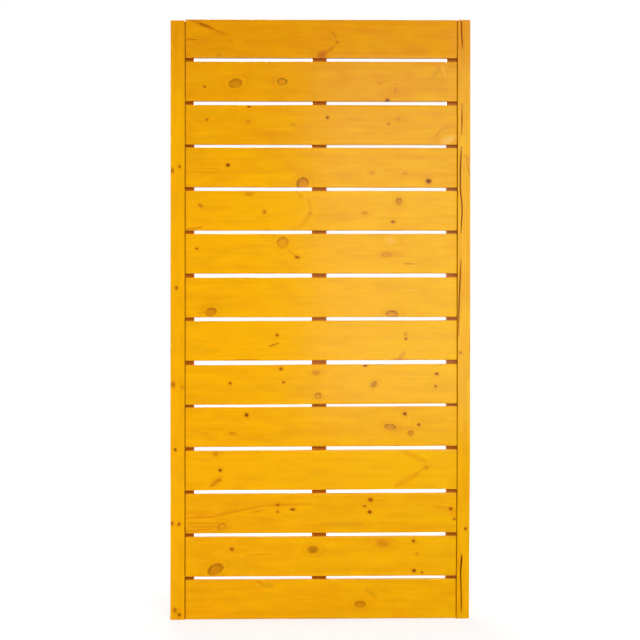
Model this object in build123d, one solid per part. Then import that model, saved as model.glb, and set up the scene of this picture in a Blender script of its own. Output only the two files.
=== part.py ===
"""A slatted privacy fence panel of stained softwood, 900 mm wide and 1800 mm high.

Two rebated stiles stand at the sides. Fourteen horizontal boards lie with their ends in the stiles'
rebates, a finger's width apart, and a flat batten runs up the middle of their backs. Every board is
held from behind by two wire staples at each stile and two at the batten, so none shows in front.

Millimetres. X runs to the right as seen from the front, Y to the back, Z up.
The origin is at the bottom, in the middle of the width and of the depth.
"""

from build123d import *
import os
from math import atan, degrees

# Panel
PANEL_WIDTH = 900
PANEL_HEIGHT = 1800
PANEL_DEPTH = 45

# Boards, counted from the top. The first and the last are ripped narrower to make up the height. They
# were laid by hand, so the gaps differ and most boards rise a little towards the right.
BOARD_WIDTHS = (115.25, *[119.5] * 12, 118.75)
GAPS = (10.5, 10.5, 8.5, 10, 9.5, 11.5, 10, 12, 7.5, 10.5, 10, 10, 9)
BOARD_RISES = (3, 3, 2, 1, 1.5, 2, 2, 3, 3.5, 3.5, 2.5, 1.5, 0.5, 0)
BOARD_THICKNESS = 20
BOARD_ARRIS = 2.5
BOARD_RECESS = 1
BOARD_END_CLEARANCE = 1.2

# Stiles. The faces beside the boards differ, because the boards lie a little right of the middle. The
# left stile was cut short, and the foot of the right one has bent in towards the boards.
STILE_WIDTH = 70
STILE_ARRIS = 3
SHOULDER_ARRIS = 1
LEFT_STILE_FACE = 43
RIGHT_STILE_FACE = 38.5
LEFT_STILE_SHORTFALL = 6.5
FOOT_BEND = 3.3
FOOT_BEND_HEIGHT = 480

# Batten behind the boards
BATTEN_WIDTH = 44
BATTEN_CENTRE = -4
BATTEN_ARRIS = 2

# Narrow-crown staples of flat wire, 6 x 38 mm, driven askew to the grain so as not to split it
STAPLE_CROWN = 6
STAPLE_LENGTH = 38
STAPLE_WIRE = 1.2
STAPLE_CORNER = 0.5
STAPLE_POINT = 1.5
STAPLE_SINK = 0.6
STAPLE_TURN = 30
STAPLE_EDGE_DISTANCE = 28

# Drying checks in the face of the right stile. Each is a run of (distance from the shoulder, height,
# width) points along the grain, closed at its two ends. The top one runs out through the stile's end.
NARROW = 3
WIDE = 4.5
CHECK_DEPTH_TO_WIDTH = 3.5
TOP_CHECK = ((10.5, 1900, 0), (11.5, 1765, NARROW), (13.5, 1732, NARROW), (14, 1714, 0))
SHORT_CHECK = ((13, 1547, 0), (12.8, 1500, NARROW), (12.3, 1455, 0))
LONG_CHECK = (
    (11.5, 1417, 0),
    (10, 1390, NARROW),
    (8, 1345, NARROW),
    (8, 1300, NARROW),
    (8.7, 1283, NARROW),
    (11, 1263, NARROW),
    (13.5, 1243, NARROW),
    (13.4, 1217, NARROW),
    (11.5, 1187, NARROW),
    (10, 1160, 0),
)
SHOULDER_CHECK = (
    (10, 1080, 0),
    (8.5, 1040, NARROW),
    (6.5, 990, NARROW),
    (4, 925, NARROW),
    (3, 850, 0),
)
FOOT_CHECK = (
    (14.5, 193, 0),
    (14.3, 180, WIDE),
    (13, 158, WIDE),
    (12, 140, NARROW),
    (13, 105, NARROW),
    (14.3, 70, NARROW),
    (14.7, 40, NARROW),
    (15, 20, 0),
)
CHECKS = (TOP_CHECK, SHORT_CHECK, LONG_CHECK, SHOULDER_CHECK, FOOT_CHECK)

# Places that follow from the sizes
FRONT = -PANEL_DEPTH / 2
BACK = PANEL_DEPTH / 2
BOARD_FRONT = FRONT + BOARD_RECESS
BOARD_BACK = BOARD_FRONT + BOARD_THICKNESS
LEFT_EDGE = -PANEL_WIDTH / 2
RIGHT_EDGE = PANEL_WIDTH / 2
LEFT_SHOULDER = LEFT_EDGE + LEFT_STILE_FACE
RIGHT_SHOULDER = RIGHT_EDGE - RIGHT_STILE_FACE
BOARD_LEFT_END = LEFT_SHOULDER + BOARD_END_CLEARANCE
BOARD_RIGHT_END = RIGHT_SHOULDER - BOARD_END_CLEARANCE


def foot_bend(height):
    """How far the right stile has bent towards the boards at a height."""
    return FOOT_BEND * max(0, 1 - height / FOOT_BEND_HEIGHT)


def board_bottoms():
    """The height of each board's lower edge at its middle, from the top board down."""
    bottoms = []
    top = PANEL_HEIGHT - BOARD_RISES[0] / 2
    for width, gap in zip(BOARD_WIDTHS, (*GAPS, 0)):
        bottoms.append(top - width)
        top -= width + gap
    return bottoms


def staple_columns():
    """The X of each column of staples: in the middle of each stile's rear flange and of the batten."""
    return {
        "left_stile": (BOARD_LEFT_END + LEFT_EDGE + STILE_WIDTH) / 2,
        "centre_batten": BATTEN_CENTRE,
        "right_stile": (BOARD_RIGHT_END + RIGHT_EDGE - STILE_WIDTH) / 2,
    }


def staple_heights(bottom, width):
    """The Z of the two staples that hold one board at each column."""
    return bottom + STAPLE_EDGE_DISTANCE, bottom + width - STAPLE_EDGE_DISTANCE


def driven_staple(cover=0):
    """A staple as it lies in the wood at X = 0, Z = 0, its crown just under the back of the panel.

    cover is how far the crown reaches on backwards, which makes the hole that the staple leaves open.
    """
    outer = STAPLE_CROWN / 2
    inner = outer - STAPLE_WIRE
    half = [
        (0, cover),
        (outer - STAPLE_CORNER, cover),
        (outer, cover - STAPLE_CORNER),
        (outer, STAPLE_POINT - STAPLE_LENGTH),
        (inner, -STAPLE_LENGTH),
        (inner, -STAPLE_WIRE),
        (0, -STAPLE_WIRE),
    ]
    right_half = make_face(Polyline(half, close=True))
    outline = right_half + mirror(right_half, about=Plane.YZ)
    wire = extrude(outline, STAPLE_WIRE / 2, both=True)
    return Pos(0, BACK - STAPLE_SINK, 0) * Rot(0, STAPLE_TURN, 0) * wire


def at_each(solid, column, heights):
    """Copies of a staple or of its hole, up one column."""
    return [Pos(column, 0, height) * solid for height in heights]


def board(bottom, width, rise):
    """One board: planed square timber with eased long arrises and sawn ends."""
    right_end = BOARD_RIGHT_END - foot_bend(bottom + width / 2)
    length = right_end - BOARD_LEFT_END
    section = Plane.YZ * RectangleRounded(BOARD_THICKNESS, width, BOARD_ARRIS)
    centre = Pos(
        (BOARD_LEFT_END + right_end) / 2,
        (BOARD_FRONT + BOARD_BACK) / 2,
        bottom + width / 2,
    )
    return centre * Rot(0, -degrees(atan(rise / length)), 0) * extrude(section, length / 2, both=True)


def stile_section(face_width):
    """The section of a left stile, with a rebate at the back of its face for the board ends.

    Its outer edge is at X = 0 and the boards come in from +X.
    """
    outline = Polyline(
        (0, FRONT),
        (face_width, FRONT),
        (face_width, BOARD_BACK),
        (STILE_WIDTH, BOARD_BACK),
        (STILE_WIDTH, BACK),
        (0, BACK),
        close=True,
    )
    section = make_face(outline)
    shoulder = section.vertices().sort_by_distance((face_width, FRONT))[0]
    section = fillet(shoulder, SHOULDER_ARRIS)
    corners = [(0, FRONT), (0, BACK), (STILE_WIDTH, BACK)]
    outer = [section.vertices().sort_by_distance(corner)[0] for corner in corners]
    return fillet(outer, STILE_ARRIS)


def bent_stile(section, height):
    """A left stile whose foot has bent in towards the boards."""
    upright = extrude(Pos(0, 0, FOOT_BEND_HEIGHT) * section, height - FOOT_BEND_HEIGHT)
    run = Vector(-FOOT_BEND, 0, FOOT_BEND_HEIGHT)
    return upright + extrude(Pos(FOOT_BEND, 0, 0) * section, run.length, dir=run)


def batten():
    """The flat batten behind the boards, as thick as the stiles' rear flanges."""
    thickness = BACK - BOARD_BACK
    section = RectangleRounded(BATTEN_WIDTH, thickness, BATTEN_ARRIS)
    return Pos(BATTEN_CENTRE, BOARD_BACK + thickness / 2, 0) * extrude(section, PANEL_HEIGHT)


def drying_check(route):
    """The wedge of air in a split: a V across the grain that opens from one end and closes at the other."""
    places = [RIGHT_SHOULDER - foot_bend(height) + across for across, height, _ in route]
    ends = [Vertex(places[end], FRONT, route[end][1]) for end in (0, -1)]
    sections = []
    for centre, (_, height, width) in list(zip(places, route))[1:-1]:
        sections.append(
            make_face(
                Polyline(
                    (centre - width / 2, FRONT, height),
                    (centre + width / 2, FRONT, height),
                    (centre, FRONT + width * CHECK_DEPTH_TO_WIDTH, height),
                    close=True,
                )
            )
        )
    return loft([ends[0], *sections, ends[1]], ruled=True)


def write(node, shape):
    """Writes one sub-part under its own name."""
    shape.label = node
    export_step(shape, f"parts/{node}.step")


def main():
    os.makedirs("parts", exist_ok=True)
    columns = staple_columns()
    staple = driven_staple()
    hole = driven_staple(cover=STAPLE_SINK + STAPLE_CORNER)

    heights = []
    for number, (bottom, width, rise) in enumerate(zip(board_bottoms(), BOARD_WIDTHS, BOARD_RISES), start=1):
        pair = staple_heights(bottom, width)
        slots = [slot for column in columns.values() for slot in at_each(staple, column, pair)]
        write(f"board_{number:02d}", board(bottom, width, rise) - slots)
        heights += pair

    left = extrude(Pos(LEFT_EDGE, 0, 0) * stile_section(LEFT_STILE_FACE), PANEL_HEIGHT - LEFT_STILE_SHORTFALL)
    write("left_stile", left - at_each(hole, columns["left_stile"], heights))

    right = mirror(bent_stile(stile_section(RIGHT_STILE_FACE), PANEL_HEIGHT), about=Plane.YZ)
    right = Pos(RIGHT_EDGE, 0, 0) * right
    for route in CHECKS:
        right -= drying_check(route)
    write("right_stile", right - at_each(hole, columns["right_stile"], heights))

    write("centre_batten", batten() - at_each(hole, columns["centre_batten"], heights))

    for carrier, column in columns.items():
        write(f"{carrier}_staples", Compound(at_each(staple, column, heights)))


main()
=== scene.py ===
"""Looks of the slatted fence panel: planed softwood under a golden stain, on a white floor.

Metres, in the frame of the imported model: X to the right as seen from the front, Y to the back, Z up.
"""

from collections import namedtuple
from math import cos, pi, radians, sin

import bpy
import numpy as np
from mathutils import Euler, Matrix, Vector


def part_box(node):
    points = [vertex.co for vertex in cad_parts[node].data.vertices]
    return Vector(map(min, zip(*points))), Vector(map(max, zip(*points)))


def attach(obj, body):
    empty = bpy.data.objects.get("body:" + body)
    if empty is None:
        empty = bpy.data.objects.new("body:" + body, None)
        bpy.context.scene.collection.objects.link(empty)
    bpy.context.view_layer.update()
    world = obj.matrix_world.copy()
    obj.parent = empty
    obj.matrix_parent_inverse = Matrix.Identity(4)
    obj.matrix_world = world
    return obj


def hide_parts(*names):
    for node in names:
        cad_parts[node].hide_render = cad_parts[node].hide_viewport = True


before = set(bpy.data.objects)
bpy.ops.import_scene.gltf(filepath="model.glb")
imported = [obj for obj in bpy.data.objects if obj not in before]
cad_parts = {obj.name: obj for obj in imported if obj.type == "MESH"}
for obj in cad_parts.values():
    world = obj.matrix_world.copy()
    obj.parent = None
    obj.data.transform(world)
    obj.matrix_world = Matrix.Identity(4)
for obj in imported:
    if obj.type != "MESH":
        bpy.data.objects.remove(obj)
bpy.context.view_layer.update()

MM = 0.001

# Camera, standing five metres off with a long lens, a little left of the middle
CAMERA_PLACE = Vector((-0.15, -5.0, 0.9))
CAMERA_YAW = radians(1.7)
CAMERA_PITCH = radians(-0.03)
CAMERA_ROLL = radians(-0.03)
CAMERA_LENS = 93.4

# Softboxes: the place, what it faces, its width and height, its watts, and the spread in degrees that
# its grid leaves. The window is what the stain's sheen shows on the right of the panel.
Softbox = namedtuple("Softbox", "name place target size power spread", defaults=[180])
SOFTBOXES = [
    Softbox("key", (2.4, -7.8, 3.6), (-0.05, 0, 0.6), (2.0, 1.2), 13.6, 40),
    Softbox("fill", (-2.4, -7.0, 3.0), (0, 0, 0.8), (1.6, 1.2), 62),
    Softbox("window", (0.75, -5.0, 1.35), (0.3, 0, 1.2), (1.3, 2.2), 80),
    Softbox("back", (-0.8, 4.5, 2.6), (0, 0, 0.9), (1.6, 1.2), 110),
    Softbox("left_side", (-4.5, 0.5, 1.6), (0, 0, 0.9), (1.2, 1.6), 60),
    Softbox("right_side", (4.5, 0.5, 1.6), (0, 0, 0.9), (1.2, 1.6), 60),
]

# Light of the white world, and how the floor is seen: it glows less near the panel's foot, where the
# lamps show the panel's shadow on a faint diffuse surface
WORLD_LIGHT = 0.28
FLOOR_REACH = 40
FLOOR_GREY = (0.6, 0.6, 0.6)
FLOOR_SHADOW = 0.35
NEAR_GLOW = 0.7
FAR_GLOW = 0.94
GLOW_REACH = (0.4, 1.6)

# The panel's own sizes, as the solids have them
PANEL_WIDTH = 900 * MM
PANEL_DEPTH = 45 * MM
BOARD_NAMES = [f"board_{number:02d}" for number in range(1, 15)]
BOARD_RISES = [rise * MM for rise in (3, 3, 2, 1, 1.5, 2, 2, 3, 3.5, 3.5, 2.5, 1.5, 0.5, 0)]
BOARD_ARRIS = 2.5 * MM
STILE_ARRIS = 3 * MM
SHOULDER_ARRIS = 1 * MM
RIGHT_STILE_FACE = 38.5 * MM
FOOT_BEND = 3.3 * MM
FOOT_BEND_HEIGHT = 480 * MM
DEEPEST_CHECK = 15.8 * MM
REBATE_DEPTH = 21 * MM

# How far a planed board strays from straight at its edges and cups on average, over what lengths in
# metres, and the size of its mesh
EDGE_WAVER = 0.3 * MM
CUP = 0.15 * MM
WAVER_WAVES = (0.9, 0.41, 0.17)
MESH_STEP = 4 * MM

# Marks in the timbers' front faces, in millimetres. A knot's middle is at (across, level). It has its
# length along the grain and its height across it, and turn is how many degrees it leans up to the
# right. A streak has its two ends, each as (across, level), and its width halfway between them.
Knot = namedtuple("Knot", "kind across level length height turn", defaults=[0])
Streak = namedtuple("Streak", "kind start end width")

# On a board, across is from the panel's left edge and level is down from the board's upper arris
BOARD_MARKS = {
    "board_01": [
        Streak("smear", (56, -1), (94, 13), 13),
        Streak("smear", (84, 10), (128, 27), 13),
        Streak("fissure", (87, 11), (106, 18), 9),
        Streak("fissure", (102, 15), (124, 26), 7),
        Streak("smear", (118, 22), (142, 35), 9),
        Streak("smear", (138, 32), (169, 45), 10),
        Streak("figure", (85, 17), (124, 31), 6),
        Streak("figure", (118, 34), (160, 52), 6),
        Knot("faint", 178, 61, 15, 11, -20),
        Knot("faint", 145, 105, 27, 12),
        Streak("tint", (93, 106), (155, 80), 24),
        Streak("hair", (42, 59), (82, 60), 4),
        Knot("cloud", 453, 102, 39, 26, 25),
        Streak("smear", (464, 95), (491, 79), 14),
        Streak("smear", (482, 34), (497, 50), 9),
        Knot("soft", 499, 65, 12, 10),
    ],
    "board_02": [
        Knot("pin", 102, 75, 9, 8),
        Knot("oval", 194, 64, 39, 26, 12),
        Knot("ring", 334, 58, 30, 20),
        Streak("figure", (309, 47), (307, 68), 5),
        Knot("dark", 650, 113, 14, 12),
        Streak("wisp", (663, 59), (669, 54), 4),
        Streak("wisp", (684, 60), (688, 56), 4),
        Streak("figure", (675, 66), (689, 61), 4),
        Knot("faint", 626, 61, 12, 9),
        Knot("faint", 674, 82, 16, 22),
        Streak("khaki", (806, 14), (786, 46), 22),
        Streak("khaki", (832, 6), (860, 14), 26),
        Streak("wisp", (814, 6), (825, 42), 8),
    ],
    "board_03": [
        Knot("pin", 109, 43, 9, 8),
        Knot("dark", 235, 4, 12, 6),
        Knot("faint", 232, 48, 21, 12),
        Knot("faint", 367, 58, 15, 9),
        Knot("dark", 470, 35, 10, 9),
        Knot("faint", 681, 38, 15, 12),
        Knot("pin", 653, 53, 9, 7),
        Knot("bare", 833, 100, 50, 24, 20),
        Streak("figure", (792, 94), (812, 72), 8),
        Streak("khaki", (806, 72), (850, 60), 12),
    ],
    "board_04": [
        Knot("dark", 172, 51, 12, 11),
        Streak("figure", (61, 60), (154, 63), 4),
        Streak("figure", (67, 71), (142, 74), 4),
        Knot("red", 395, 105, 36, 32, 40),
        Knot("dark", 774, 97, 18, 15),
        Streak("wisp", (476, 68), (503, 69), 4),
        Streak("wisp", (596, 70), (641, 69), 4),
        Streak("wisp", (681, 70), (723, 69), 4),
        Streak("wisp", (750, 70), (834, 67), 4),
        Knot("faint", 604, 72, 18, 9),
        Knot("faint", 702, 74, 21, 9),
    ],
    "board_05": [
        Knot("soft", 90, 43, 18, 9, -30),
        Knot("soft", 281, 61, 13, 12),
        Knot("faint", 235, 8, 30, 12),
        Streak("smear", (42, 115), (95, 108), 8),
        Streak("figure", (379, 4), (393, 18), 7),
        Knot("pale", 404, 14, 15, 8, -30),
        Streak("tint", (411, 20), (423, 62), 10),
        Streak("tint", (423, 62), (386, 108), 16),
        Knot("faint", 417, 64, 11, 9),
        Knot("oval", 685, 29, 21, 20, 35),
        Knot("faint", 582, 64, 27, 12),
        Knot("pin", 667, 90, 15, 9),
    ],
    "board_06": [
        Knot("pin", 79, 43, 9, 7),
        Knot("mild", 336, 24, 33, 33),
        Streak("figure", (351, 46), (375, 66), 5),
        Knot("pin", 379, 68, 15, 10, -10),
        Knot("pale", 659, 16, 36, 27),
        Knot("mild", 647, 60, 29, 14),
        Streak("hair", (700, 87), (732, 88), 4),
    ],
    "board_07": [
        Knot("oval", 121, 101, 32, 24, 10),
        Streak("figure", (79, 104), (106, 103), 5),
        Knot("red", 664, 107, 36, 20, -5),
        Streak("wisp", (702, 36), (756, 35), 4),
    ],
    "board_08": [
        Knot("pin", 319, 41, 11, 9),
        Streak("hair", (295, 75), (324, 65), 6),
        Streak("smear", (190, 115), (259, 116), 6),
        Knot("pin", 706, 52, 9, 8),
        Knot("faint", 705, 38, 11, 11),
        Streak("smear", (703, 90), (685, 113), 14),
        Streak("wisp", (704, 85), (690, 108), 5),
        Streak("smear", (663, 113), (711, 114), 7),
    ],
    "board_09": [
        Knot("pin", 179, 54, 10, 9),
        Knot("dark", 331, 11, 10, 9),
        Knot("pin", 338, 51, 10, 9),
        Knot("faint", 436, 22, 30, 18),
        Knot("ring", 442, 92, 20, 18),
        Knot("dark", 584, 2, 14, 7),
        Knot("brown", 610, 57, 23, 17, 45),
        Knot("pin", 799, 26, 13, 10),
        Knot("pin", 796, 63, 9, 8),
    ],
    "board_10": [
        Knot("dark", 228, 22, 12, 12),
        Knot("faint", 186, 77, 27, 12),
        Knot("dark", 703, 19, 13, 11),
        Knot("pale", 717, 33, 15, 8, -40),
        Knot("dark", 745, 51, 10, 8),
        Knot("red", 659, 58, 33, 16, -8),
        Knot("oval", 721, 77, 18, 16),
        Knot("dark", 675, 117, 18, 5),
    ],
    "board_11": [
        Knot("faint", 136, 8, 17, 18),
        Knot("pin", 149, 57, 13, 11),
        Knot("pin", 147, 87, 9, 8),
        Streak("tint", (152, 78), (118, 106), 32),
        Streak("smear", (146, 84), (124, 104), 14),
        Knot("faint", 768, 50, 18, 12),
        Streak("tint", (760, 54), (724, 80), 16),
        Streak("tint", (740, 70), (674, 106), 26),
        Streak("tint", (702, 6), (764, 30), 22),
    ],
    "board_12": [
        Streak("figure", (50, 70), (124, 68), 9),
        Streak("figure", (112, 70), (202, 50), 10),
        Streak("figure", (190, 52), (280, 35), 9),
        Streak("figure", (270, 35), (420, 29), 8),
        Streak("figure", (236, 56), (284, 46), 7),
        Streak("tint", (140, 60), (196, 44), 10),
        Streak("tint", (50, 54), (130, 57), 26),
        Streak("figure", (50, 86), (150, 86), 7),
        Streak("figure", (58, 97), (142, 97), 7),
        Streak("figure", (44, 111), (124, 104), 8),
        Knot("pin", 321, 32, 11, 10),
        Knot("pin", 321, 53, 8, 7),
        Knot("dark", 366, 46, 16, 8, 4),
        Knot("mild", 154, 97, 29, 21, 30),
        Knot("pin", 600, 17, 17, 14),
        Streak("figure", (614, 19), (647, 20), 5),
        Knot("pin", 582, 36, 11, 7),
        Knot("dark", 597, 54, 13, 11),
        Streak("figure", (783, 39), (836, 42), 5),
        Knot("dark", 841, 45, 11, 10),
        Knot("pin", 852, 76, 9, 8),
        Streak("khaki", (455, 89), (575, 90), 24),
    ],
    "board_13": [
        Knot("pin", 184, 35, 12, 11),
        Knot("oval", 135, 95, 47, 30, 25),
        Knot("brown", 427, 37, 33, 23),
        Knot("faint", 638, 17, 50, 26, -12),
        Streak("figure", (612, 24), (640, 31), 6),
        Streak("figure", (223, 54), (306, 49), 5),
        Knot("dark", 729, 12, 10, 9),
        Knot("dark", 731, 101, 12, 11),
        Knot("pin", 755, 107, 8, 8),
        Knot("faint", 740, 50, 15, 7),
    ],
    "board_14": [
        Streak("figure", (254, 3), (276, 8), 7),
        Knot("pale", 261, 16, 9, 7),
        Streak("khaki", (271, 13), (310, 18), 22),
        Knot("oval", 569, 73, 33, 19),
        Streak("khaki", (587, 28), (617, 52), 21),
    ],
}

# On a stile, across is from its outer edge and level is up from the floor. A knot's length lies along
# the grain here too, so it stands upright.
STILE_MARKS = {
    "left_stile": [
        Knot("pin", 27, 1356, 10, 8),
        Knot("oval", 6, 1344, 14, 9),
        Knot("dark", 18, 993, 10, 8),
        Knot("oval", 7, 704, 16, 12),
        Knot("faint", 36, 696, 14, 9),
        Knot("dark", 15, 509, 10, 8),
        Knot("pin", 6, 288, 12, 8),
        Knot("pin", 26, 286, 13, 9, 20),
        Streak("tint", (24, 0), (24, 26), 34),
        Knot("oval", 13, 29, 14, 10),
        Knot("dark", 27, 15, 9, 8),
    ],
    "right_stile": [
        Streak("khaki", (25, 1715), (25, 1665), 9),
        Streak("smear", (19, 1394), (3, 1378), 6),
        Streak("smear", (12, 1379), (2, 1334), 5),
        Knot("soft", 29, 799, 9, 8),
        Knot("dark", 14, 270, 10, 8),
    ],
}

# Where the drying checks run in the face of the right stile, in millimetres across from its shoulder
# and up from the floor, as the solid has them
CHECKS = [
    [(10.5, 1800), (11.5, 1765), (13.5, 1732), (14, 1714)],
    [(13, 1547), (12.8, 1500), (12.3, 1455)],
    [(11.5, 1417), (10, 1390), (8, 1345), (8, 1300), (8.7, 1283), (11, 1263), (13.5, 1243), (13.4, 1217),
     (11.5, 1187), (10, 1160)],
    [(10, 1080), (8.5, 1040), (6.5, 990), (4, 925), (3, 850)],
    [(14.5, 193), (14.3, 180), (13, 158), (12, 140), (13, 105), (14.3, 70), (14.7, 40), (15, 20)],
]

# How each kind of mark shows under the stain: screen colours out of 255, and how strongly
KnotLook = namedtuple("KnotLook", "heart rim halo")
KNOT_LOOKS = {
    "dark": KnotLook((118, 42, 0), (178, 86, 0), 0.2),
    "pin": KnotLook((150, 64, 0), (204, 118, 0), 0.15),
    "soft": KnotLook((192, 108, 0), (216, 134, 0), 0.15),
    "cloud": KnotLook((198, 106, 8), (218, 134, 4), 0.3),
    "brown": KnotLook((150, 78, 0), (196, 112, 4), 0.25),
    "oval": KnotLook((196, 116, 6), (164, 84, 0), 0.25),
    "ring": KnotLook((222, 144, 14), (150, 74, 0), 0.2),
    "mild": KnotLook((226, 150, 16), (196, 116, 4), 0.2),
    "red": KnotLook((210, 124, 36), (148, 66, 4), 0.25),
    "faint": KnotLook((214, 136, 6), (228, 150, 6), 0.15),
    "pale": KnotLook((242, 180, 52), (242, 174, 26), 0.1),
    "bare": KnotLook((240, 180, 76), (238, 172, 44), 0.2),
}
StreakLook = namedtuple("StreakLook", "colour strength")
STREAK_LOOKS = {
    "fissure": StreakLook((160, 80, 0), 0.85),
    "smear": StreakLook((198, 112, 0), 0.65),
    "figure": StreakLook((216, 128, 0), 0.65),
    "hair": StreakLook((176, 98, 0), 0.95),
    "wisp": StreakLook((250, 194, 66), 0.5),
    "tint": StreakLook((226, 142, 0), 0.5),
    "khaki": StreakLook((216, 150, 10), 0.6),
}

# Where the parts of a knot begin and end, in shares of its half size. The heart sits low in its rim,
# as where a branch slopes up through the board, and the grain swerves round it.
HEART_DROP = 0.14
HEART_EDGE = (0.45, 0.95)
RIM_EDGE = (0.8, 1.3)
HALO_START = (1.3, 1.6)
HALO_END = (1.6, 2.6)
HALO_AT_RIM = 0.3
SWERVE_SPREAD = (0.28, 0, 0.42)
SWERVE = 0.75
STREAK_EDGE = (0.2, 1.2)

# Knots of these kinds that are taller than this, in millimetres, show the branch's own years and a
# pale collar, and their heart and rim are patchy
RINGED_KINDS = ("oval", "ring", "mild", "red", "brown")
RINGED_KNOT = 15
KNOT_YEARS = 17.0
PALE_YEAR = 0.55
COLLAR_START = (1.2, 1.35)
COLLAR_END = (1.4, 1.7)
COLLAR_STRENGTH = 0.3
PATCH_SPREAD = (0.07, 0, 0.12)
HEART_PATCHES = (0.35, 0.6, 0.7, 1)
RIM_PATCHES = (0.4, 0.65, 1, 0.6)

# Ragged outlines of the marks: how fine, and how far out of place, in millimetres
RAGGED_SPREAD = (0.5, 0.0, 0.8)
RAGGED_REACH = (16, 0, 11)

# Growth rings: millimetres to a year, how far behind or before the timber's middle the heart of the
# tree runs, and how far above or below it, how far the rings stray, and which part of a year is dark
RING_SPACING = 4.2
PITH_DISTANCE = (35, 75)
PITH_LEVEL = (-45, 45)
BOARD_WANDER = 22
UPRIGHT_WANDER = 9
FINE_WANDER = 3
SLOW_SPREAD = (0.0035, 0.02, 0.02)
FINE_SPREAD = (0.012, 0.09, 0.09)
LATEWOOD_START = (0.25, 0.85)
LATEWOOD_END = (0.9, 1.0)
RING_CONTRAST = 0.13
RING_RELIEF = 0.5

# Uneven uptake of the stain: how fine each pattern is along and across the grain, and how much it does.
# Each timber's patterns start up to PATTERN_SHIFT millimetres away, so that no two are alike.
PATTERN_SHIFT = 900
FIBRE_SPREAD = (0.02, 0.9, 0.9)
BAND_SPREAD = (0.004, 0.07, 0.07)
BLOTCH_SPREAD = (0.012, 0.03, 0.03)
DRIFT_SPREAD = (0.006, 0.024, 0.024)
FIBRE_UPTAKE = 0.3
BAND_UPTAKE = 0.8
BLOTCH_UPTAKE = 1.0
OLIVE_DRIFTS = (0.5, 0.75, 0, 0.6)

# Stain over the softwood: where it lies thin and pale, and where the wood drank more of it. The thin stain
# is warmer towards the left of the panel; towards the right it is yellower and a little lighter, painted
# sheen.
WARM_THIN_STAIN = (246, 174, 0)
THIN_STAIN_AND_SHEEN = (241, 180, 0)
# The deep stain's colour is also the painted shade at the top of the uprights and the topmost boards
DEEP_STAIN_AND_SHADE = (226, 146, 0)
OLIVE_STAIN = (230, 164, 6)
LATEWOOD = (216, 138, 0)
END_GRAIN = (205, 130, 8)
# Painted shade on the batten and rebates where they show through the boards' gaps
GAP_SHADE = (186, 102, 0)

# Painted shade within a few millimetres of the boards' ends, beside the shoulder gaps, and of the drying
# checks, and painted shade down inside the checks. FAR_AWAY is further in millimetres than any of it
# reaches.
SEAM_SHADE = (186, 96, 0)
SEAM_SHADE_REACH = 3
SEAM_SHADE_FULL = 0.5
SEAM_SHADE_STRENGTH = 0.75
CHECK_SIDE_SHADE_EDGE = (1.5, 4.5)
CHECK_SIDE_SHADE_STRENGTH = 0.45
CHECK_DEPTH_SHADE = (190, 100, 2)
FAR_AWAY = 100.0

# Painted highlight along the boards' arrises, where their edges catch the light
ARRIS_HIGHLIGHT = (255, 208, 104)
ARRIS_HIGHLIGHT_STRENGTH = 0.15

# How much stain each timber took, from 0 to 1, with the topmost boards raised as painted shade, and how
# much painted shade darkens the topmost 250 mm of the uprights
BOARD_TONES = (0.85, 0.65, 0.45, 0.3, 0.1, 0.1, 0.1, 0.0, 0.1, 0.2, 0.05, 0.3, 0.25, 0.3)
UPRIGHT_TONES = {"left_stile": 0.08, "right_stile": 0.35, "centre_batten": 0.4}
SHADED_TOP = 250 * MM
TOP_SHADE_TONE = 0.8

# Gloss and relief of the stain's film
WOOD_ROUGHNESS = (0.09, 0.15)
WOOD_SHEEN = 0.05
WOOD_BUMP = 0.2
WOOD_RELIEF = 0.15 * MM

# Galvanised wire
DULL_ZINC = (0.5, 0.5, 0.49)
BRIGHT_ZINC = (0.72, 0.73, 0.75)
ZINC_ROUGHNESS = (0.28, 0.5)
ZINC_SPANGLE = 900


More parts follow.
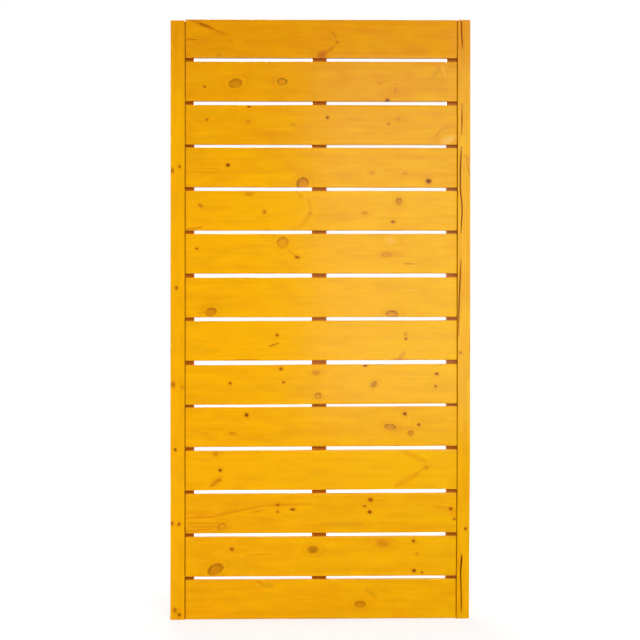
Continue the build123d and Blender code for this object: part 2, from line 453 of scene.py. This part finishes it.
class Graph:
    """Short calls for building a node tree. A value may be a socket, a number or a tuple."""

    def __init__(self, tree):
        self.tree = tree

    def add(self, kind, **settings):
        """A new node with its settings."""
        node = self.tree.nodes.new(kind)
        for name, value in settings.items():
            setattr(node, name, value)
        return node

    def put(self, socket, value):
        """Links value to an input if it is a socket, and sets it on the input if not."""
        if isinstance(value, bpy.types.NodeSocket):
            self.tree.links.new(value, socket)
        elif isinstance(value, (tuple, list)) and len(value) == 3 and socket.type == "RGBA":
            socket.default_value = (*value, 1)
        else:
            socket.default_value = value

    def fed(self, kind, inputs, **settings):
        """A new node with its inputs put by name or number."""
        node = self.add(kind, **settings)
        for name, value in inputs.items():
            self.put(node.inputs[name], value)
        return node

    def finish(self, shader, kind="ShaderNodeOutputMaterial"):
        """Ends the tree with shader as the surface of the material or world."""
        self.fed(kind, {"Surface": shader.outputs[0]})

    def math(self, operation, *values, clamp=False):
        node = self.add("ShaderNodeMath", operation=operation, use_clamp=clamp)
        for socket, value in zip(node.inputs, values):
            self.put(socket, value)
        return node.outputs[0]

    def vector(self, operation, *values, output=0):
        """A vector sum; output is 1 for LENGTH, DISTANCE and DOT_PRODUCT, which give a number."""
        node = self.add("ShaderNodeVectorMath", operation=operation)
        for socket, value in zip(node.inputs, values):
            self.put(socket, value)
        return node.outputs[output]

    def scaled(self, vector, factor):
        return self.fed("ShaderNodeVectorMath", {0: vector, "Scale": factor}, operation="SCALE").outputs[0]

    def separate(self, vector):
        return self.fed("ShaderNodeSeparateXYZ", {0: vector}).outputs

    def combine(self, x, y, z):
        return self.fed("ShaderNodeCombineXYZ", {0: x, 1: y, 2: z}).outputs[0]

    def span(self, value, low, high, to_low=0.0, to_high=1.0, smooth=True):
        """value mapped from low..high to to_low..to_high, held at both ends."""
        kind = "SMOOTHSTEP" if smooth else "LINEAR"
        node = self.add("ShaderNodeMapRange", interpolation_type=kind)
        for socket, number in zip(node.inputs, (value, low, high, to_low, to_high)):
            self.put(socket, number)
        return node.outputs[0]

    def noise(self, point, spread, detail=2, roughness=0.5, output="Fac"):
        """Perlin noise about 0.5; spread is how often it swings along each axis of point."""
        inputs = {
            "Vector": self.vector("MULTIPLY", point, spread),
            "Scale": 1.0,
            "Detail": detail,
            "Roughness": roughness,
        }
        return self.fed("ShaderNodeTexNoise", inputs, noise_dimensions="3D").outputs[output]

    def uneven(self, base, pattern, reach, clamp=False):
        """base, raised or lowered as pattern leaves 0.5, by reach for a whole 1."""
        return self.math("MULTIPLY_ADD", self.math("SUBTRACT", pattern, 0.5), reach, base, clamp=clamp)

    def blend(self, factor, first, second):
        """The first colour where factor is 0 and the second where it is 1."""
        node = self.add("ShaderNodeMix", data_type="RGBA")
        sockets = [socket for socket in node.inputs if socket.enabled]
        for socket, value in zip(sockets, (factor, first, second)):
            self.put(socket, value)
        return next(socket for socket in node.outputs if socket.enabled)

    def nearest(self, point, start, end):
        """How far point lies from the line between start and end, and where along it, from 0 to 1."""
        run = end - start
        offset = self.vector("SUBTRACT", point, start)
        share = self.vector("DOT_PRODUCT", offset, run / run.length_squared, output=1)
        share = self.math("MAXIMUM", self.math("MINIMUM", share, 1.0), 0.0)
        return self.vector("DISTANCE", offset, self.scaled(tuple(run), share), output=1), share


def emptied(owner):
    """The graph of a new material or world, without the nodes that it comes with."""
    owner.use_nodes = True
    owner.node_tree.nodes.clear()
    return Graph(owner.node_tree)


def linear(colour):
    """A screen colour out of 255 as the scene-linear colour that a shader takes."""
    levels = [level / 255 for level in colour]
    return tuple(v / 12.92 if v <= 0.04045 else ((v + 0.055) / 1.055) ** 2.4 for v in levels)


def foot_bend(height):
    """How far the right stile has bent towards the boards at a height."""
    return FOOT_BEND * max(0, 1 - height / FOOT_BEND_HEIGHT)


def knot_masks(graph, point, mark, place):
    """Heart, rim, collar and halo of one knot, each 0 to 1, and how far the grain swerves round it.

    Reaches are in shares of the knot's own half length and half height. Only a large knot that shows
    its years has a collar, where the wood round it is paler.
    """
    lean = radians(mark.turn)
    offset = graph.vector("SUBTRACT", point, place)
    length = (2 / mark.length * cos(lean), 0, 2 / mark.length * sin(lean))
    height = (-2 / mark.height * sin(lean), 0, 2 / mark.height * cos(lean))
    scaled = graph.combine(graph.vector("DOT_PRODUCT", offset, length, output=1), 0,
                           graph.vector("DOT_PRODUCT", offset, height, output=1))
    reach = graph.vector("LENGTH", scaled, output=1)
    low_reach = graph.vector("LENGTH", graph.vector("ADD", scaled, (0, 0, HEART_DROP)), output=1)
    heart = graph.span(low_reach, *HEART_EDGE, 1, 0)
    rim = graph.math("SUBTRACT", graph.span(reach, *RIM_EDGE, 1, 0), heart, clamp=True)
    halo = graph.math("MULTIPLY", graph.span(reach, *HALO_START, HALO_AT_RIM, 1),
                      graph.span(reach, *HALO_END, 1, 0))
    collar = None
    if mark.height > RINGED_KNOT and mark.kind in RINGED_KINDS:
        years = graph.math("SINE", graph.math("MULTIPLY", low_reach, KNOT_YEARS))
        heart = graph.math("MULTIPLY", heart, graph.span(years, -1.0, 1.0, PALE_YEAR, 1.0, smooth=False))
        collar = graph.math("MULTIPLY", graph.span(reach, *COLLAR_START),
                            graph.span(reach, *COLLAR_END, COLLAR_STRENGTH, 0))

    near = graph.vector("LENGTH", graph.vector("MULTIPLY", scaled, SWERVE_SPREAD), output=1)
    shift = graph.math("MULTIPLY", graph.separate(offset)["Z"], graph.span(near, 0, 1, -SWERVE, 0))
    return heart, rim, collar, halo, shift


def streak_mask(graph, point, mark, start, end):
    """1 along the line from start to end, fading out across it; half as wide at its ends."""
    distance, share = graph.nearest(point, start, end)
    fullness = graph.math("MULTIPLY", share, graph.math("SUBTRACT", 1.0, share))
    half_width = graph.math("MULTIPLY_ADD", fullness, mark.width, mark.width / 4)
    return graph.span(graph.math("DIVIDE", distance, half_width), *STREAK_EDGE, 1, 0)


def mark_masks(graph, local, shifted, marks):
    """Each mark with its masks, with ragged outlines, and how far the knots push the grain aside."""
    ragged = graph.noise(shifted, RAGGED_SPREAD, detail=3, output="Color")
    ragged = graph.vector("SUBTRACT", ragged, (0.5, 0.5, 0.5))
    point = graph.vector("MULTIPLY_ADD", ragged, RAGGED_REACH, local)
    point = graph.vector("MULTIPLY", point, (1, 0, 1))
    sway = 0.0
    masks = []
    for mark, places in marks:
        if isinstance(mark, Knot):
            *parts, shift = knot_masks(graph, point, mark, *places)
            sway = graph.math("ADD", shift, sway)
        else:
            parts = [streak_mask(graph, point, mark, *places)]
        masks.append((mark, parts))
    return masks, sway


def painted_marks(graph, colour, shifted, masks):
    """colour with every knot and streak laid over it, in the order of the list."""
    patches = graph.noise(shifted, PATCH_SPREAD)
    heart_patches = graph.span(patches, *HEART_PATCHES)
    rim_patches = graph.span(patches, *RIM_PATCHES)
    for mark, parts in masks:
        if isinstance(mark, Streak):
            look = STREAK_LOOKS[mark.kind]
            colour = graph.blend(graph.math("MULTIPLY", *parts, look.strength), colour, linear(look.colour))
            continue
        look = KNOT_LOOKS[mark.kind]
        heart, rim, collar, halo = parts
        colour = graph.blend(graph.math("MULTIPLY", halo, look.halo), colour, linear(LATEWOOD))
        if collar:
            colour = graph.blend(collar, colour, linear(THIN_STAIN_AND_SHEEN))
            heart = graph.math("MULTIPLY", heart, heart_patches)
            rim = graph.math("MULTIPLY", rim, rim_patches)
        colour = graph.blend(rim, colour, linear(look.rim))
        colour = graph.blend(heart, colour, linear(look.heart))
    return colour


def growth_rings(graph, point, pith, wander):
    """0 in pale earlywood to 1 in dark latewood, in rings about the heart of the tree.

    point is in millimetres with X along the grain. pith is where the heart runs, as (Y, Z), and
    wander is how many millimetres it strays along the timber.
    """
    slow = graph.noise(point, SLOW_SPREAD, detail=1)
    fine = graph.noise(point, FINE_SPREAD)
    _, y, z = graph.separate(point)
    radius = graph.vector("LENGTH", graph.combine(0, graph.math("SUBTRACT", y, pith[0]),
                                                  graph.math("SUBTRACT", z, pith[1])), output=1)
    radius = graph.math("MULTIPLY_ADD", slow, wander, radius)
    radius = graph.math("MULTIPLY_ADD", fine, FINE_WANDER, radius)
    year = graph.math("FRACT", graph.math("DIVIDE", radius, RING_SPACING))
    return graph.math("MULTIPLY", graph.span(year, *LATEWOOD_START), graph.span(year, *LATEWOOD_END, 1, 0))


def gap_shade_mask(graph, place, normal, inward):
    """1 where shade is painted on what shows through the gaps and seams: the batten's front and the stiles'
    rebates.

    inward is 1 or -1 for the way that a rebate faces along X, and 0 for the batten.
    """
    depth = graph.math("ADD", graph.separate(place)["Y"], PANEL_DEPTH / 2)
    facing = graph.separate(normal)
    back = graph.math("MULTIPLY", graph.span(facing["Y"], -0.9, -0.5, 1, 0),
                      graph.math("GREATER_THAN", depth, REBATE_DEPTH / 2))
    wall = graph.math("MULTIPLY", graph.span(graph.math("MULTIPLY", facing["X"], inward), 0.2, 0.5),
                      graph.math("LESS_THAN", depth, REBATE_DEPTH - 0.5 * MM))
    return graph.math("MAXIMUM", back, wall)


def check_side_shade_mask(graph, local, centre):
    """1 in the right stile's face beside its drying checks, fading out away from them, where shade is
    painted.
    """
    point = graph.vector("MULTIPLY", local, (1, 0, 1))
    closest = FAR_AWAY
    for route in CHECKS:
        places = []
        for across, up in route:
            x = PANEL_WIDTH / 2 - RIGHT_STILE_FACE - foot_bend(up * MM) + across * MM
            places.append(Vector((up - centre.z / MM, 0, (x - centre.x) / MM)))
        for start, end in zip(places, places[1:]):
            distance, _ = graph.nearest(point, start, end)
            closest = graph.math("MINIMUM", distance, closest)
    return graph.span(closest, *CHECK_SIDE_SHADE_EDGE, 1, 0)


def check_depth_shade_mask(graph, place):
    """1 down inside the right stile's drying checks, where shade is painted, and 0 on its faces; place is
    in metres.
    """
    x, y, z = graph.separate(place)
    bend = graph.math("MULTIPLY_ADD", z, -FOOT_BEND / FOOT_BEND_HEIGHT, FOOT_BEND)
    across = graph.math("ADD", x, graph.math("MAXIMUM", bend, 0.0))
    shoulder = PANEL_WIDTH / 2 - RIGHT_STILE_FACE + SHOULDER_ARRIS
    edge = PANEL_WIDTH / 2 - STILE_ARRIS
    front = -PANEL_DEPTH / 2
    mask = graph.span(across, shoulder + 0.1 * MM, shoulder + 0.3 * MM)
    mask = graph.math("MULTIPLY", mask, graph.span(across, edge - 0.3 * MM, edge - 0.1 * MM, 1, 0))
    mask = graph.math("MULTIPLY", mask, graph.span(y, front + 0.2 * MM, front + 2.2 * MM))
    return graph.math("MULTIPLY", mask, graph.math("LESS_THAN", y, front + DEEPEST_CHECK))


def checked_face(graph, colour, place, local, centre):
    """colour with painted shade down inside the drying checks and beside them."""
    check_side_shade = graph.math("MULTIPLY", check_side_shade_mask(graph, local, centre), CHECK_SIDE_SHADE_STRENGTH)
    depth = graph.math("ADD", graph.separate(place)["Y"], PANEL_DEPTH / 2)
    check_side_shade = graph.math("MULTIPLY", check_side_shade, graph.math("LESS_THAN", depth, DEEPEST_CHECK))
    colour = graph.blend(check_side_shade, colour, linear(SEAM_SHADE))
    return graph.blend(check_depth_shade_mask(graph, place), colour, linear(CHECK_DEPTH_SHADE))


def board_edges(graph, colour, local, normal, length):
    """colour with a painted highlight along a board's arrises and painted shade at its ends."""
    facing = graph.math("ABSOLUTE", graph.separate(normal)["Y"])
    # Painted highlight along the arrises
    arris = graph.math("MULTIPLY", graph.span(facing, 0.1, 0.4),
                       graph.span(facing, 0.9, 0.99, ARRIS_HIGHLIGHT_STRENGTH, 0))
    colour = graph.blend(arris, colour, linear(ARRIS_HIGHLIGHT))
    # Painted shade along the board's ends, beside the shoulder gaps
    from_middle = graph.math("ABSOLUTE", graph.separate(local)["X"])
    end = length / 2 / MM
    seam_shade = graph.span(from_middle, end - SEAM_SHADE_REACH, end - SEAM_SHADE_FULL, 0, SEAM_SHADE_STRENGTH)
    return graph.blend(seam_shade, colour, linear(SEAM_SHADE))


def wood_material(name, centre, upright, seed, tone, marks, length=0, inward=0, checked=False):
    """Stained softwood for one timber, whose middle is at centre in metres.

    tone is how much stain the timber took, from 0 to 1; in the topmost boards it is raised as painted
    shade. marks is a list of (mark, places), where places are in the timber's own millimetres: X along
    the grain, Y from front to back, Z across. A board has its length, a stile has inward, the way that
    its rebate faces along X, and checked is for the stile with the drying checks.
    """
    material = bpy.data.materials.new(name)
    graph = emptied(material)
    draw = np.random.default_rng(seed)

    place = graph.add("ShaderNodeTexCoord").outputs["Object"]
    normal = graph.add("ShaderNodeNewGeometry").outputs["True Normal"]
    local = graph.scaled(graph.vector("SUBTRACT", place, tuple(centre)), 1 / MM)
    if upright:
        x, y, z = graph.separate(local)
        local = graph.combine(z, y, x)
    shifted = graph.vector("ADD", local, tuple(draw.uniform(-PATTERN_SHIFT, PATTERN_SHIFT, 3)))
    masks, sway = mark_masks(graph, local, shifted, marks)
    aside = graph.combine(0, 0, sway)
    bent = graph.vector("ADD", local, aside)
    bent_shifted = graph.vector("ADD", shifted, aside)

    # Grain and fibres
    pith = (draw.choice((-1, 1)) * draw.uniform(*PITH_DISTANCE), draw.uniform(*PITH_LEVEL))
    rings = growth_rings(graph, bent, pith, UPRIGHT_WANDER if upright else BOARD_WANDER)
    fibres = graph.noise(bent_shifted, FIBRE_SPREAD, detail=3, roughness=0.6)

    # How much stain each place took up, with painted shade at the top of the uprights
    blotches = graph.noise(shifted, BLOTCH_SPREAD)
    uptake_and_top_shade = graph.uneven(tone, graph.noise(bent_shifted, BAND_SPREAD), BAND_UPTAKE)
    uptake_and_top_shade = graph.uneven(uptake_and_top_shade, blotches, BLOTCH_UPTAKE)
    # The top of each upright darkened as painted shade, where the light falls off towards the top
    if upright:
        top = centre.z * 2
        height = graph.separate(place)["Z"]
        uptake_and_top_shade = graph.math("ADD", uptake_and_top_shade, graph.span(height, top - SHADED_TOP, top, 0, TOP_SHADE_TONE))
    uptake_and_top_shade = graph.uneven(uptake_and_top_shade, fibres, FIBRE_UPTAKE, clamp=True)

    # Colour of the stained wood and of its marks
    # Yellower and a little lighter towards the right of the panel: painted sheen
    sheen_rightward = graph.span(graph.separate(place)["X"], -PANEL_WIDTH / 2, PANEL_WIDTH / 2)
    thin_stain_and_sheen = graph.blend(sheen_rightward, linear(WARM_THIN_STAIN), linear(THIN_STAIN_AND_SHEEN))
    colour = graph.blend(uptake_and_top_shade, thin_stain_and_sheen, linear(DEEP_STAIN_AND_SHADE))
    drifts = graph.noise(bent_shifted, DRIFT_SPREAD, detail=3)
    colour = graph.blend(graph.span(drifts, *OLIVE_DRIFTS), colour, linear(OLIVE_STAIN))
    colour = graph.blend(graph.math("MULTIPLY", rings, RING_CONTRAST), colour, linear(LATEWOOD))
    colour = painted_marks(graph, colour, shifted, masks)

    # Sawn ends drink the stain and show as end grain
    end_facing = graph.separate(normal)["Z" if upright else "X"]
    cut = graph.span(graph.math("ABSOLUTE", end_facing), 0.7, 0.9)
    colour = graph.blend(cut, colour, graph.blend(rings, linear(END_GRAIN), linear(LATEWOOD)))
    # Painted shade on the batten and rebates where they show through the gaps
    if upright:
        colour = graph.blend(gap_shade_mask(graph, place, normal, inward), colour, linear(GAP_SHADE))
    else:
        colour = board_edges(graph, colour, local, normal, length)
    # Painted shade beside and down inside the right stile's drying checks
    if checked:
        colour = checked_face(graph, colour, place, local, centre)

    # Fine relief of the fibres and the latewood under the film of stain
    relief = graph.math("MULTIPLY_ADD", rings, RING_RELIEF, fibres)
    bump = graph.fed("ShaderNodeBump", {"Strength": WOOD_BUMP, "Distance": WOOD_RELIEF, "Height": relief})
    shader = graph.fed("ShaderNodeBsdfPrincipled", {
        "Base Color": colour,
        "Roughness": graph.span(blotches, 0.3, 0.7, *WOOD_ROUGHNESS),
        "Specular IOR Level": WOOD_SHEEN,
        "Normal": bump.outputs[0],
    })
    graph.finish(shader)
    return material


def zinc_material():
    """Galvanised staple wire, dulled unevenly."""
    material = bpy.data.materials.new("zinc")
    graph = emptied(material)
    place = graph.add("ShaderNodeTexCoord").outputs["Object"]
    spangle = graph.noise(place, (ZINC_SPANGLE,) * 3, detail=3, roughness=0.6)
    bump = graph.fed("ShaderNodeBump", {"Strength": 0.3, "Distance": 0.05 * MM, "Height": spangle})
    shader = graph.fed("ShaderNodeBsdfPrincipled", {
        "Base Color": graph.blend(spangle, DULL_ZINC, BRIGHT_ZINC),
        "Metallic": 1.0,
        "Roughness": graph.span(spangle, 0.3, 0.7, *ZINC_ROUGHNESS),
        "Normal": bump.outputs[0],
    })
    graph.finish(shader)
    return material


def rounded_ring(depth, width, radius, spacing, arc_steps=4):
    """Points round a rectangle in (Y, Z) with rounded corners, none of its edges longer than spacing."""
    corners = [(1, 1), (-1, 1), (-1, -1), (1, -1)]
    arcs = []
    for turn, (side_y, side_z) in enumerate(corners):
        middle = np.array([side_y * (depth / 2 - radius), side_z * (width / 2 - radius)])
        angles = pi / 2 * (turn + np.linspace(0, 1, arc_steps + 1))
        arcs.append(middle + radius * np.column_stack([np.cos(angles), np.sin(angles)]))
    ring = []
    for arc, following in zip(arcs, arcs[1:] + arcs[:1]):
        ring.extend(arc)
        steps = max(1, round(np.linalg.norm(following[0] - arc[-1]) / spacing))
        ring.extend(arc[-1] + (following[0] - arc[-1]) * step / steps for step in range(1, steps))
    return np.array(ring)


def waver(along, reach, seed):
    """A slow drift along a timber, within reach to either side."""
    draw = np.random.default_rng(seed)
    total = np.zeros_like(along)
    for wave in WAVER_WAVES:
        total += np.sin(2 * pi * (along / wave + draw.uniform())) / len(WAVER_WAVES)
    return reach * total


def skinned(name, rings):
    """A closed mesh over rings, an array of (station, point, coordinate), with flat ends."""
    stations, points, _ = rings.shape
    index = np.arange(stations * points).reshape(stations, points)
    onward = np.roll(index, -1, axis=1)
    quads = np.stack([index[:-1], onward[:-1], onward[1:], index[1:]], axis=-1).reshape(-1, 4)
    faces = quads.tolist() + [index[0][::-1].tolist(), index[-1].tolist()]
    mesh = bpy.data.meshes.new(name)
    mesh.from_pydata(rings.reshape(-1, 3).tolist(), [], faces)
    smooth = np.ones(len(faces), bool)
    smooth[-2:] = False
    mesh.polygons.foreach_set("use_smooth", smooth)
    mesh.update()
    piece = bpy.data.objects.new(name, mesh)
    bpy.context.scene.collection.objects.link(piece)
    return piece


def board_piece(node, rise, seed):
    """One board over its solid: a little cupped, with edges that are planed but not quite straight."""
    low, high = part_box(node)
    middle = (low + high) / 2
    length = high.x - low.x
    depth = high.y - low.y
    width = high.z - low.z - abs(rise)
    along = np.linspace(-length / 2, length / 2, round(length / MESH_STEP) + 1)
    ring = rounded_ring(depth, width, BOARD_ARRIS, MESH_STEP)

    y = np.tile(ring[:, 0], (len(along), 1))
    z = np.tile(ring[:, 1], (len(along), 1))
    upper = waver(along, EDGE_WAVER, seed)[:, None] * 2 / width
    lower = waver(along, EDGE_WAVER, seed + 100)[:, None] * 2 / width
    z = z * np.where(z > 0, 1 + upper - 2 * EDGE_WAVER / width, 1 + lower)
    cup = CUP + waver(along, CUP, seed + 200)[:, None]
    hollow = cup * (1 - (2 * z / width) ** 2)
    y = y * (1 - 2 * hollow / depth)
    x = np.tile(along[:, None], (1, len(ring)))
    z = z + x * rise / length
    rings = np.stack([x + middle.x, y + middle.y, z + middle.z], axis=-1)
    return skinned(f"{node}_planed", rings)


def mark_points(mark):
    """The one point of a knot or the two ends of a streak."""
    return [(mark.across, mark.level)] if isinstance(mark, Knot) else [mark.start, mark.end]


def board_marks(node, middle, top):
    """The board's own marks with their places in its own millimetres."""
    marks = []
    for mark in BOARD_MARKS[node]:
        places = [Vector((across - PANEL_WIDTH / 2 / MM - middle.x / MM, 0, (top - middle.z) / MM - down))
                  for across, down in mark_points(mark)]
        marks.append((mark, places))
    return marks


def stile_marks(node, middle, outer, inward):
    """The stile's own marks, with X up along the grain and Z across it."""
    marks = []
    for mark in STILE_MARKS[node]:
        places = [Vector((up - middle.z / MM, 0, (outer - middle.x) / MM + inward * across))
                  for across, up in mark_points(mark)]
        marks.append((mark, places))
    return marks


def recolour(node, material):
    """Gives a node that keeps its solid the material in place of its plain one."""
    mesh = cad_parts[node].data
    mesh.materials.clear()
    mesh.materials.append(material)


def dress_boards():
    """Each board gets its planed piece, its wood and its marks."""
    for seed, (node, rise, tone) in enumerate(zip(BOARD_NAMES, BOARD_RISES, BOARD_TONES), start=1):
        low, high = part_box(node)
        middle = (low + high) / 2
        top = high.z - abs(rise) / 2 - BOARD_ARRIS
        piece = board_piece(node, rise, seed)
        marks = board_marks(node, middle, top)
        wood = wood_material(f"{node}_wood", middle, False, seed, tone, marks, length=high.x - low.x)
        piece.data.materials.append(wood)
        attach(piece, "root")
        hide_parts(node)


def dress_uprights():
    """The stiles and the batten keep their solids and get their wood."""
    for seed, (node, tone) in enumerate(UPRIGHT_TONES.items(), start=31):
        low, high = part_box(node)
        middle = (low + high) / 2
        outer, inward = {"left_stile": (low.x, 1), "right_stile": (high.x, -1)}.get(node, (0, 0))
        marks = stile_marks(node, middle, outer, inward) if inward else []
        checked = node == "right_stile"
        wood = wood_material(f"{node}_wood", middle, True, seed, tone, marks,
                             inward=inward, checked=checked)
        recolour(node, wood)


def dress_staples():
    """The staples keep their solids and get their zinc."""
    zinc = zinc_material()
    for carrier in UPRIGHT_TONES:
        recolour(f"{carrier}_staples", zinc)


def direct_sight(graph):
    """1 for rays that see a surface directly, in a mirror or through glass; 0 for light that falls on."""
    path = graph.add("ShaderNodeLightPath")
    seen = graph.math("MAXIMUM", path.outputs["Is Camera Ray"], path.outputs["Is Glossy Ray"])
    return graph.math("MAXIMUM", seen, path.outputs["Is Transmission Ray"])


def white_world():
    """A world that is seen as white and lights the panel softly."""
    world = bpy.data.worlds.new("studio")
    bpy.context.scene.world = world
    graph = emptied(world)
    strength = graph.span(direct_sight(graph), 0, 1, WORLD_LIGHT, 1, smooth=False)
    background = graph.fed("ShaderNodeBackground", {"Color": (1.0, 1.0, 1.0), "Strength": strength})
    graph.finish(background, "ShaderNodeOutputWorld")


def white_floor():
    """A floor that is seen as white and keeps a faint shadow of the panel."""
    material = bpy.data.materials.new("floor")
    graph = emptied(material)
    plain = graph.fed("ShaderNodeBsdfDiffuse", {"Color": FLOOR_GREY})
    away = graph.vector("LENGTH", graph.add("ShaderNodeTexCoord").outputs["Object"], output=1)
    glow = graph.fed("ShaderNodeEmission", {"Strength": graph.span(away, *GLOW_REACH, NEAR_GLOW, FAR_GLOW)})
    faint = graph.fed("ShaderNodeBsdfDiffuse", {"Color": (FLOOR_SHADOW,) * 3})
    seen = graph.fed("ShaderNodeAddShader", {0: glow.outputs[0], 1: faint.outputs[0]})
    mixed = {0: direct_sight(graph), 1: plain.outputs[0], 2: seen.outputs[0]}
    graph.finish(graph.fed("ShaderNodeMixShader", mixed))

    mesh = bpy.data.meshes.new("floor")
    corners = [(-1, -1), (1, -1), (1, 1), (-1, 1)]
    mesh.from_pydata([(x * FLOOR_REACH, y * FLOOR_REACH, 0) for x, y in corners], [], [(0, 1, 2, 3)])
    mesh.materials.append(material)
    floor = bpy.data.objects.new("floor", mesh)
    bpy.context.scene.collection.objects.link(floor)


def softbox_light(box):
    """An area light that faces its target, with a grid that holds its light to its spread."""
    data = bpy.data.lights.new(box.name, "AREA")
    data.spread = radians(box.spread)
    data.shape = "RECTANGLE"
    data.size, data.size_y = box.size
    data.energy = box.power
    light = bpy.data.objects.new(box.name, data)
    light.location = box.place
    light.rotation_euler = (Vector(box.target) - Vector(box.place)).to_track_quat("-Z", "Y").to_euler()
    bpy.context.scene.collection.objects.link(light)


def camera():
    """The camera at the photo's place."""
    data = bpy.data.cameras.new("camera")
    data.sensor_width = 36
    data.lens = CAMERA_LENS
    data.clip_end = 200
    shot = bpy.data.objects.new("camera", data)
    shot.location = CAMERA_PLACE
    shot.rotation_euler = Euler((pi / 2 + CAMERA_PITCH, CAMERA_ROLL, -CAMERA_YAW))
    bpy.context.scene.collection.objects.link(shot)
    bpy.context.scene.camera = shot


dress_boards()
dress_uprights()
dress_staples()
white_world()
white_floor()
for softbox in SOFTBOXES:
    softbox_light(softbox)
camera()
bpy.context.scene.view_settings.view_transform = "Standard"
